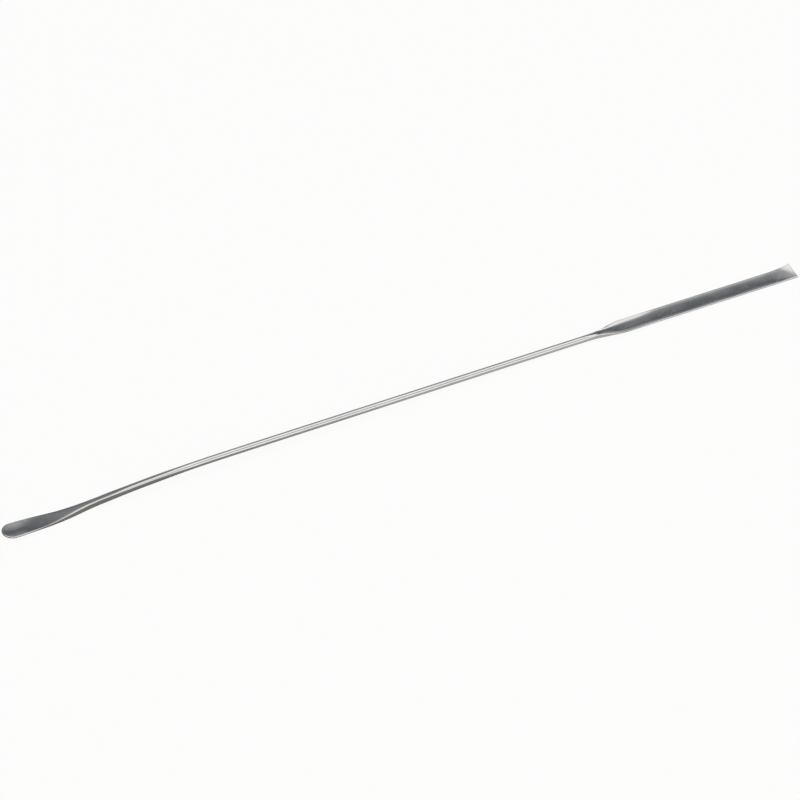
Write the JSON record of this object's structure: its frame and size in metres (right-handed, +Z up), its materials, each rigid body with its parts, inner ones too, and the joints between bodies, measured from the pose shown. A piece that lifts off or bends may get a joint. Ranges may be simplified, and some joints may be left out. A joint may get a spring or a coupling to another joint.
{
  "type": "laboratory micro spatula",
  "caption": "Slim double-ended lab spatula of one bent steel wire, with a small pressed spoon at one end and a shallow flat blade with a square end at the other.",
  "frame": {"origin": "middle of the tool's box, on the surface that it lies on", "axes": "+X along the wire from the spoon to the blade, +Z up with the hollow sides of spoon and blade facing up, +Y across"},
  "size_m": [0.2099, 0.005, 0.0035],
  "materials": {
    "polished_steel": "bright polished stainless steel with faint drawing and pressing marks"
  },
  "bodies": {
    "root": {"spatula": "polished_steel"}
  },
  "joints": []
}
